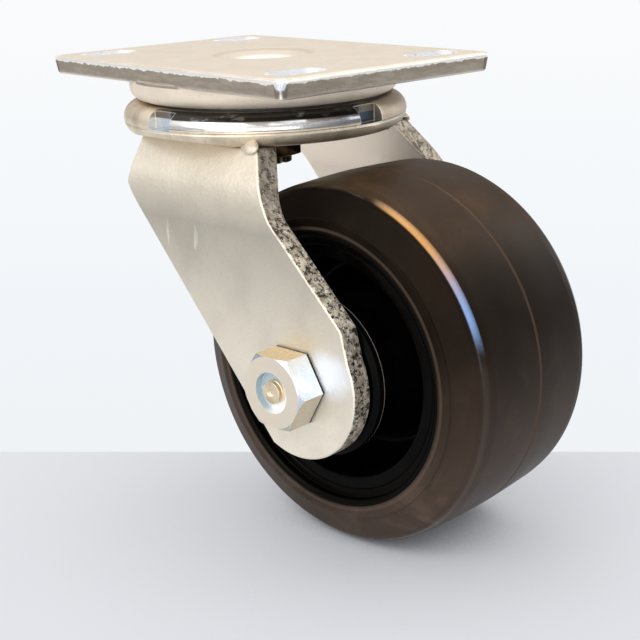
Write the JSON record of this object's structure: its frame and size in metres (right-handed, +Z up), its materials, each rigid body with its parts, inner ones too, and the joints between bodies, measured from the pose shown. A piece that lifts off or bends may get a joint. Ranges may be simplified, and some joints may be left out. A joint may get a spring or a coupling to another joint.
{
  "type": "castor wheel",
  "caption": "Heavy duty swivel castor with a slotted top plate, a ball race, a forged yoke with trailing legs and a wide black moulded wheel.",
  "frame": {"origin": "centre of the top plate's mounting face, on the swivel axis", "axes": "+Z up out of the mounting face, towards what the castor is bolted to; +Y the way it rolls, with the wheel trailing towards -Y; X along the plate's short side and, within a few degrees, the axle"},
  "size_m": [0.1545, 0.225, 0.1952],
  "materials": {
    "zinc_forging": "zinc plated forging, satin",
    "zinc_leg": "zinc plated plate, satin",
    "weld_metal": "zinc plated weld",
    "seal_rubber": "brown nitrile, matt",
    "race_steel": "hardened, oiled",
    "dark_nut": "black oxide",
    "cotter_zinc": "yellow zinc",
    "ball_steel": "polished",
    "bolt_zinc": "bright zinc",
    "fitting_brass": "satin",
    "bush_steel": "ground",
    "washer_bronze": "dull",
    "tread_rubber": "moulded, semi gloss",
    "core_black": "black paint, gloss",
    "cap_black": "black, satin",
    "cage_steel": "stamped"
  },
  "bodies": {
    "plate_body": {"top_plate": "zinc_forging", "race_seal": "seal_rubber", "lower_race": "race_steel", "kingpin_nut": "dark_nut", "kingpin_cotter": "cotter_zinc"},
    "upper_ball_ring": {"upper_balls": "ball_steel"},
    "lower_ball_ring": {"lower_balls": "ball_steel"},
    "fork_body": {"yoke_base": "zinc_forging", "leg_left": "zinc_leg", "leg_right": "zinc_leg", "leg_welds": "weld_metal", "axle_bolt": "bolt_zinc", "axle_fitting": "fitting_brass", "axle_washer": "bolt_zinc", "axle_nut": "bolt_zinc", "spanner_bushing": "bush_steel", "thrust_washers": "washer_bronze"},
    "roller_set": {"bearing_rollers": "ball_steel", "bearing_cage": "cage_steel"},
    "wheel_body": {"wheel_tread": "tread_rubber", "wheel_core": "core_black", "hub_caps": "cap_black"}
  },
  "joints": [
    {"name": "swivel", "type": "hinge", "parent": "plate_body", "child": "fork_body", "pos_m": [0, 0, 0], "axis": [0, 0, 1], "continuous": true},
    {"name": "upper_balls_turn", "type": "hinge", "parent": "plate_body", "child": "upper_ball_ring", "pos_m": [0, 0, 0], "axis": [0, 0, 1], "continuous": true},
    {"name": "lower_balls_turn", "type": "hinge", "parent": "plate_body", "child": "lower_ball_ring", "pos_m": [0, 0, 0], "axis": [0, 0, 1], "continuous": true},
    {"name": "wheel_spin", "type": "hinge", "parent": "fork_body", "child": "wheel_body", "pos_m": [0.00655, -0.06799, -0.119], "axis": [0.9954, 0.0958, 0], "continuous": true},
    {"name": "rollers_turn", "type": "hinge", "parent": "fork_body", "child": "roller_set", "pos_m": [0.00655, -0.06799, -0.119], "axis": [0.9954, 0.0958, 0], "continuous": true}
  ],
  "couplings": [
    {"joint": "upper_balls_turn", "follows": "swivel", "ratio": 0.5},
    {"joint": "lower_balls_turn", "follows": "swivel", "ratio": 0.5},
    {"joint": "rollers_turn", "follows": "wheel_spin", "ratio": 0.5922}
  ]
}
